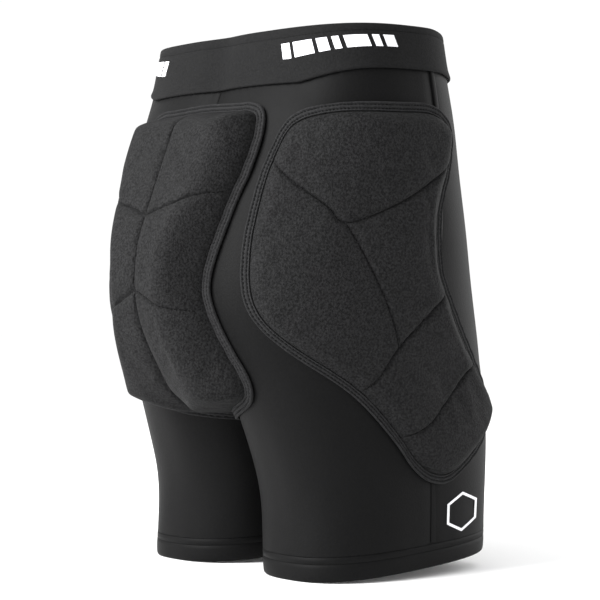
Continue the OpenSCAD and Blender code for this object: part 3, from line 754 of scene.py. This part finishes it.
class Pad:
    """A quilted pad laid out in its own plane: an outline, and channels that end on the rim."""

    def __init__(self, name, side, controls, channels, place, crest, depth, rim_w):
        self.name, self.side, self.place = name, side, place
        self.crest, self.depth, self.rim_w = crest, depth, rim_w
        self.outer = closed_curve(controls, OUTLINE_STEPS)
        rim = self.outer + BINDING_W * inwards(self.outer)
        ends, lines = set(), []
        for line in channels:
            points = []
            for p in line:
                if isinstance(p, int):
                    ends.add(p)
                    p = rim[p * OUTLINE_STEPS]
                points.append(p)
            lines.append(points)
        ends = sorted(ends)
        self.rim = []
        for a, b in zip(ends, ends[1:] + [ends[0] + len(controls)]):
            piece = rim[np.arange(a * OUTLINE_STEPS, b * OUTLINE_STEPS + 1) % len(rim)]
            self.rim.append(even(piece, EDGE_STEP)[:-1])
        self.rim = np.concatenate(self.rim)
        self.closed_rim = np.concatenate([self.rim, self.rim[:1]])
        self.lines = []
        for points in lines:
            curve = open_curve(points, CHANNEL_STEPS)
            others = [q for other in lines if other is not points for q in other]
            shared = [i for i, p in enumerate(points) if any(np.allclose(p, q) for q in others)]
            cuts = sorted({0, len(curve) - 1, *(i * CHANNEL_STEPS for i in shared)})
            parts = [even(curve[a:b + 1], EDGE_STEP) for a, b in zip(cuts, cuts[1:])]
            self.lines.append(np.concatenate([p[:-1] for p in parts] + [parts[-1][-1:]]))

    def height(self, p, to_rim, to_channel):
        """Height of the cushions' tops above the pad's base."""
        crest = self.crest(p)
        low = crest - self.depth(p)
        top = low + (crest - low) * dome(to_channel / CHANNEL_W)
        return BINDING_T + (top - BINDING_T) * swell(to_rim / self.rim_w)

    def lift(self, p, h):
        """Points and outward directions at height h above the pad's base."""
        base, up = self.place(p)
        points = base + (PAD_BASE + np.asarray(h, float))[..., None] * up
        return on_side(points, self.side), on_side(up, self.side)

    def layout(self):
        """Points over the pad with its seams among them, and the triangles between the points."""
        lines = [self.closed_rim] + self.lines
        points, edges = [], []
        for line in lines:
            base = len(points)
            points += [tuple(p) for p in line]
            edges += [(base + i, base + i + 1) for i in range(len(line) - 1)]
        field = []
        for line in lines:
            d = unit(np.gradient(line, axis=0))
            n = np.stack([-d[:, 1], d[:, 0]], -1)
            for away in BESIDE_SEAMS:
                for sign in (-1, 1):
                    row = line + sign * away * n
                    gap = np.min([distance(row, other) for other in lines], axis=0)
                    field.append(row[gap > away * CLEARANCE])
        low, high = self.rim.min(0), self.rim.max(0)
        cols = np.arange(low[0], high[0], FIELD_STEP)
        x, y = np.meshgrid(cols, np.arange(low[1], high[1], FIELD_STEP * FIELD_ROW))
        x = x + (np.arange(len(x)) % 2)[:, None] * FIELD_STEP / 2
        lattice = np.stack([x.ravel(), y.ravel()], -1)
        gap = np.min([distance(lattice, other) for other in lines], axis=0)
        field.append(lattice[gap > FIELD_EDGE])
        field = np.concatenate(field)
        field = field[inside_of(field, self.rim)]
        points += [tuple(p) for p in field]
        verts, _, tris, *_ = delaunay_2d_cdt([Vector(p) for p in points], edges, [], 1, 1e-3)
        return np.array([tuple(v) for v in verts]), np.array([tuple(t) for t in tris if len(t) == 3])

    def build(self, material):
        """The pad's cover: cushions over a flat base, puffed as cloth between its seams."""
        p, tris = self.layout()
        to_rim = distance(p, self.closed_rim)
        to_channel = np.min([distance(p, line) for line in self.lines], axis=0)
        gutter = GUTTER * np.exp(-((to_rim / GUTTER_W) ** 2))
        top, up = self.lift(p, self.height(p, to_rim, to_channel) - gutter)
        base, _ = self.lift(p, np.zeros(len(p)))
        first, second, third = top[tris[0]]
        if np.dot(np.cross(second - first, third - first), up[tris[0, 0]]) < 0:
            tris = tris[:, ::-1]
        edges = dict.fromkeys(edge for a, b, c in tris for edge in ((a, b), (b, c), (c, a)))
        border = np.array([(a, b) for a, b in edges if (b, a) not in edges])
        n = len(p)
        walls = np.concatenate([
            np.stack([border[:, 1], border[:, 0], border[:, 0] + n], -1),
            np.stack([border[:, 1], border[:, 0] + n, border[:, 1] + n], -1),
        ])
        faces = np.concatenate([tris, tris[:, ::-1] + n, walls])
        corner = np.concatenate([p, p])[faces].reshape(-1, 2)
        mesh = mesh_of(self.name, np.concatenate([top, base]), faces, corner)
        cover = link(self.name, mesh, sharp=0)
        on_channel = to_channel < ON_SEAM
        held = np.concatenate([on_channel | (to_rim < EDGE_STEP / 2), np.ones(n, bool)])
        puff(cover, held, np.concatenate([up, up]))
        mark = mesh.attributes.get("crease_edge") or mesh.attributes.new("crease_edge", "FLOAT", "EDGE")
        ends = np.empty(len(mesh.edges) * 2, np.int32)
        mesh.edges.foreach_get("vertices", ends)
        ends = ends.reshape(-1, 2)
        creased = np.concatenate([on_channel, np.zeros(n, bool)])[ends].all(1)
        mark.data.foreach_set("value", creased.astype(np.float32))
        rounder = cover.modifiers.new("round", "SUBSURF")
        rounder.levels = rounder.render_levels = 1
        dress(cover, material)
        return cover

    def channel_rows(self):
        """The lines that the channels' stitches follow."""
        runs = []
        for line in self.lines:
            line = even(line, EDGE_STEP / 2)
            to_rim = distance(line, self.closed_rim)
            keep = to_rim > 2
            points, up = self.lift(line, self.height(line, to_rim, np.zeros(len(line))))
            runs.append((points[keep], up[keep], False))
        return runs

    def tape(self, material):
        """The binding: a tape swept along the outline, and the lines of its two rows of stitches."""
        loop = np.concatenate([self.outer, self.outer[:1]])
        run = lengths(loop)
        girth = run[-1]
        steps = int(girth / TAPE_STEP)
        at = np.arange(steps) * girth / steps
        line = at_run(loop, run, at)
        into = inwards(line)
        dimple = 0.5 - 0.5 * np.cos(2 * math.pi * at / (girth / round(girth / TAPE_PITCH)))
        loops = []
        for w, h in TAPE_SECTION:
            dip = DIMPLE * sum(math.exp(-((w - row) / DIMPLE_W) ** 2) for row in TAPE_ROWS)
            wave = RIPPLE * np.sin(at / RIPPLE_RUN) * (h > 1)
            loops.append(self.lift(line + w * into, np.maximum(h - dip * dimple + wave, 0))[0])
        obj = tube(f"{self.name}_tape", np.stack(loops), np.append(at, girth), flip=self.side > 0)
        dress(obj, material)
        rows = [self.lift(line + w * into, np.full(steps, 1.75)) + (True,) for w in TAPE_ROWS]
        return obj, rows


def puff(obj, held, up):
    """Inflates the cushions as cloth, and keeps each point near its place."""
    mesh = obj.data
    n = len(mesh.vertices)
    before = np.empty(n * 3, np.float32)
    mesh.vertices.foreach_get("co", before)
    before = before.reshape(-1, 3)
    group = obj.vertex_groups.new(name="held")
    group.add([int(i) for i in np.flatnonzero(held)], 1.0, "REPLACE")
    cloth = obj.modifiers.new("cloth", "CLOTH")
    s = cloth.settings
    s.quality = 4
    s.mass = 0.25
    s.tension_stiffness = s.compression_stiffness = 12
    s.shear_stiffness = 6
    s.bending_stiffness = 2.0
    s.tension_damping = s.compression_damping = 8
    s.air_damping = 2
    s.vertex_group_mass = "held"
    s.use_pressure = True
    s.uniform_pressure_force = PRESSURE
    s.shrink_min = -0.012
    s.effector_weights.gravity = 0
    cloth.collision_settings.use_collision = False
    scene = bpy.context.scene
    scene.frame_start, scene.frame_end = 1, PUFF_FRAMES
    cloth.point_cache.frame_start, cloth.point_cache.frame_end = 1, PUFF_FRAMES
    for f in range(1, PUFF_FRAMES + 1):
        scene.frame_set(f)
    dg = bpy.context.evaluated_depsgraph_get()
    done = obj.evaluated_get(dg).to_mesh()
    after = np.empty(n * 3, np.float32)
    done.vertices.foreach_get("co", after)
    obj.evaluated_get(dg).to_mesh_clear()
    obj.modifiers.remove(cloth)
    obj.vertex_groups.remove(group)
    scene.frame_set(1)
    move = after.reshape(-1, 3) - before
    size = np.linalg.norm(move, axis=-1, keepdims=True) / MM
    move *= np.minimum(1, PUFF_MAX / np.maximum(size, 1e-6))
    inward = np.minimum(np.sum(move * up, axis=-1, keepdims=True) + SINK_MAX * MM, 0)
    move -= inward * up
    move[held] = 0
    mesh.vertices.foreach_set("co", (before + move).ravel())
    mesh.update()


def laid(points, grain=1.0):
    """Points given as [x or polar angle, height], in the pad's own plane."""
    return [[p * grain, z * LIFT] for p, z in points]


def seat_tuck(p):
    """The seat pad is thinner where it tucks between the legs."""
    return 1 - (1 - smooth((p[..., 1] / LIFT - 128) / 60)) * np.exp(-((p[..., 0] / 25) ** 2))


def seat_crest(p):
    """Height of the seat cushions, which are lower at the top and parted at the bottom."""
    rise = SEAT_TOP_H + (SEAT_H - SEAT_TOP_H) * smooth((340 - p[..., 1] / LIFT) / 60)
    part = SEAT_CLEFT * smooth((262 - p[..., 1] / LIFT) / 80) * np.exp(-np.abs(p[..., 0]) / 12)
    return (rise - part) * seat_tuck(p)


def seat_depth(p):
    """How far the channels lie below the seat cushions."""
    return SEAT_CHANNEL * seat_tuck(p)


def hip_crest(p):
    """Height of the hip cushions, which grow thinner towards the back."""
    return HIP_H - HIP_TAPER * smooth((p[..., 0] / GRAIN - 5) / 40)


def hip_depth(p):
    """How far the channels lie below the hip cushions."""
    return np.full(p.shape[:-1], float(HIP_CHANNEL))


# Left half of the seat pad's outline, from the top.  A channel's whole numbers are the outline's
# points that it ends beside.
SEAT_HALF = [[0, 415.5], [44, 414], [68, 413], [83, 405], [88, 383], [86, 352], [81, 332], [73, 300],
             [65, 268], [63.5, 250], [68.5, 229], [77, 200], [84, 176], [82, 160], [72, 151], [51, 143],
             [26, 137], [0, 134]]
UPPER_V, LOWER_V = [[44, 321], [20, 315]], [[56, 235], [31, 243], [12, 249]]


def mirrored_line(line):
    """The same points on the other side of the pad's middle, in the opposite order."""
    return [[-x, z] for x, z in line[::-1]]


seat_pad = Pad(
    "seat_pad_cover", 1, laid(SEAT_HALF + mirrored_line(SEAT_HALF[1:-1])),
    [
        [6, *laid(UPPER_V + [[0, 310]] + mirrored_line(UPPER_V)), 28],
        [10, *laid(LOWER_V + [[0, 252]] + mirrored_line(LOWER_V)), 24],
        [0, *laid([[0, 360], [0, 310], [0, 280], [0, 252], [0, 215], [0, 175]]), 17],
    ],
    seat_frame, seat_crest, seat_depth, SEAT_RIM_W,
)

# The hip pad's outline and channels, in degrees of polar angle and millimetres of height.
HIP_EDGE = [[62, 364], [53, 397], [36, 409], [10, 411], [-10, 410], [-21, 392], [-19, 360], [-13, 320],
            [-14, 280], [-18.5, 256], [-30.5, 222], [-44.5, 193], [-58, 164], [-62, 140], [-52, 108],
            [-28, 80], [-10, 80], [5, 94], [17, 117], [38.5, 158], [61, 200], [70, 235], [70, 285],
            [67, 325]]
UPPER_CROSS, LOWER_CROSS = [32.5, 308], [13.5, 204]
hip_lines = [
    [0, *laid([[52, 345], [44, 331], [38, 320], UPPER_CROSS, [18, 319], [4, 335]], GRAIN), 6],
    laid([UPPER_CROSS, [29, 294], [24, 272], [19, 248], [15.5, 226], LOWER_CROSS], GRAIN),
    [9, *laid([[-2, 229], LOWER_CROSS, [25.7, 179]], GRAIN), 19],
    [11, *laid([[-34, 180], [-22, 159], [-5, 135]], GRAIN), 18],
]
hip_pads = [
    Pad(f"hip_pad_cover_{half}", side, laid(HIP_EDGE, GRAIN), hip_lines, hip_frame, hip_crest, hip_depth,
        HIP_RIM_W)
    for half, side in SIDES
]
channel_runs, tape_runs = [], []
for pad in [seat_pad] + hip_pads:
    cover = pad.build(pad_knit)
    tape, rows = pad.tape(binding_knit)
    node = pad.name.replace("_pad", "")
    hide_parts(node)
    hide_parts(node.replace("cover", "binding"))
    channel_runs += pad.channel_rows()
    tape_runs += rows
channel_thread = stitches("channel_stitches", channel_runs, pitch=3.8, length=2.8, radius=0.5, sink=-0.1)
dress(channel_thread, thread)
tape_thread = stitches("tape_stitches", tape_runs, pitch=TAPE_PITCH, length=2.3, radius=0.42, sink=0.0)
dress(tape_thread, thread)


# ---- what shows of the CAD frame ----------------------------------------------------------------

def finish_of(node):
    """The material of a CAD node that is shown as it is."""
    if "foam" in node:
        return foam_cells
    return {"waistband_elastic": woven_elastic, "care_label": label_satin}.get(node, inner_knit)


for node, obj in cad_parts.items():
    if not obj.hide_render:
        obj.data.materials.clear()
        obj.data.materials.append(finish_of(node))


# ---- floor, light and camera --------------------------------------------------------------------

FLOOR_HALF = 8000
corners = FLOOR_HALF * np.array([[-1, -1, 0], [1, -1, 0], [1, 1, 0], [-1, 1, 0]], float)
floor = link("floor", mesh_of("floor", corners, np.array([[0, 1, 2, 3]])), sharp=0)
paper = bpy.data.materials.new("floor_paper")
paper.use_nodes = True
paint = paper.node_tree.nodes["Principled BSDF"]
paint.inputs["Base Color"].default_value = (0.985, 0.985, 0.985, 1)
paint.inputs["Roughness"].default_value = 0.9
floor.data.materials.append(paper)

scene = bpy.context.scene
# The world is as bright as the paper floor looks, so that no horizon shows.
world = bpy.data.worlds.new("studio")
scene.world = world
world.use_nodes = True
world.node_tree.nodes["Background"].inputs["Color"].default_value = (1, 1, 1, 1)
world.node_tree.nodes["Background"].inputs["Strength"].default_value = 1.03
scene.view_settings.view_transform = "Standard"

# The camera stands behind the wearer's right hip.  Distances are in metres.
CAMERA_TURN, CAMERA_AWAY, CAMERA_HEIGHT = 232, 1.88, 0.254
AIM_HEIGHT, AIM_RIGHT = 0.242, 0.0046
LIGHT_AIM_HEIGHT = 0.24
turned = math.radians(CAMERA_TURN)
towards = Vector((math.sin(turned), -math.cos(turned), 0))
right_of = Vector((math.cos(turned), math.sin(turned), 0))
centre = Vector((0, -0.018, 0))


def look(obj, target):
    """Turns a camera or light to its target, and puts it in the scene."""
    obj.rotation_mode = "QUATERNION"
    obj.rotation_quaternion = (target - obj.location).to_track_quat("-Z", "Y")
    scene.collection.objects.link(obj)


def softbox(name, angle, away, height, width, tall, watts):
    """A large area light, at an angle round from the camera."""
    a = turned + math.radians(angle)
    light = bpy.data.lights.new(name, "AREA")
    light.shape, light.size, light.size_y, light.energy = "RECTANGLE", width, tall, watts
    obj = bpy.data.objects.new(name, light)
    obj.location = centre + Vector((math.sin(a), -math.cos(a), 0)) * away + Vector((0, 0, height))
    look(obj, centre + Vector((0, 0, LIGHT_AIM_HEIGHT)))


softbox("box_left", angle=-64, away=1.6, height=1.1, width=1.4, tall=1.4, watts=80)
softbox("box_right", angle=116, away=1.6, height=0.55, width=1.2, tall=1.2, watts=13)

lens = bpy.data.cameras.new("camera")
lens.lens, lens.sensor_width = 122.1, 36
camera = bpy.data.objects.new("camera", lens)
camera.location = centre + towards * CAMERA_AWAY + Vector((0, 0, CAMERA_HEIGHT))
look(camera, centre + right_of * AIM_RIGHT + Vector((0, 0, AIM_HEIGHT)))
scene.camera = camera
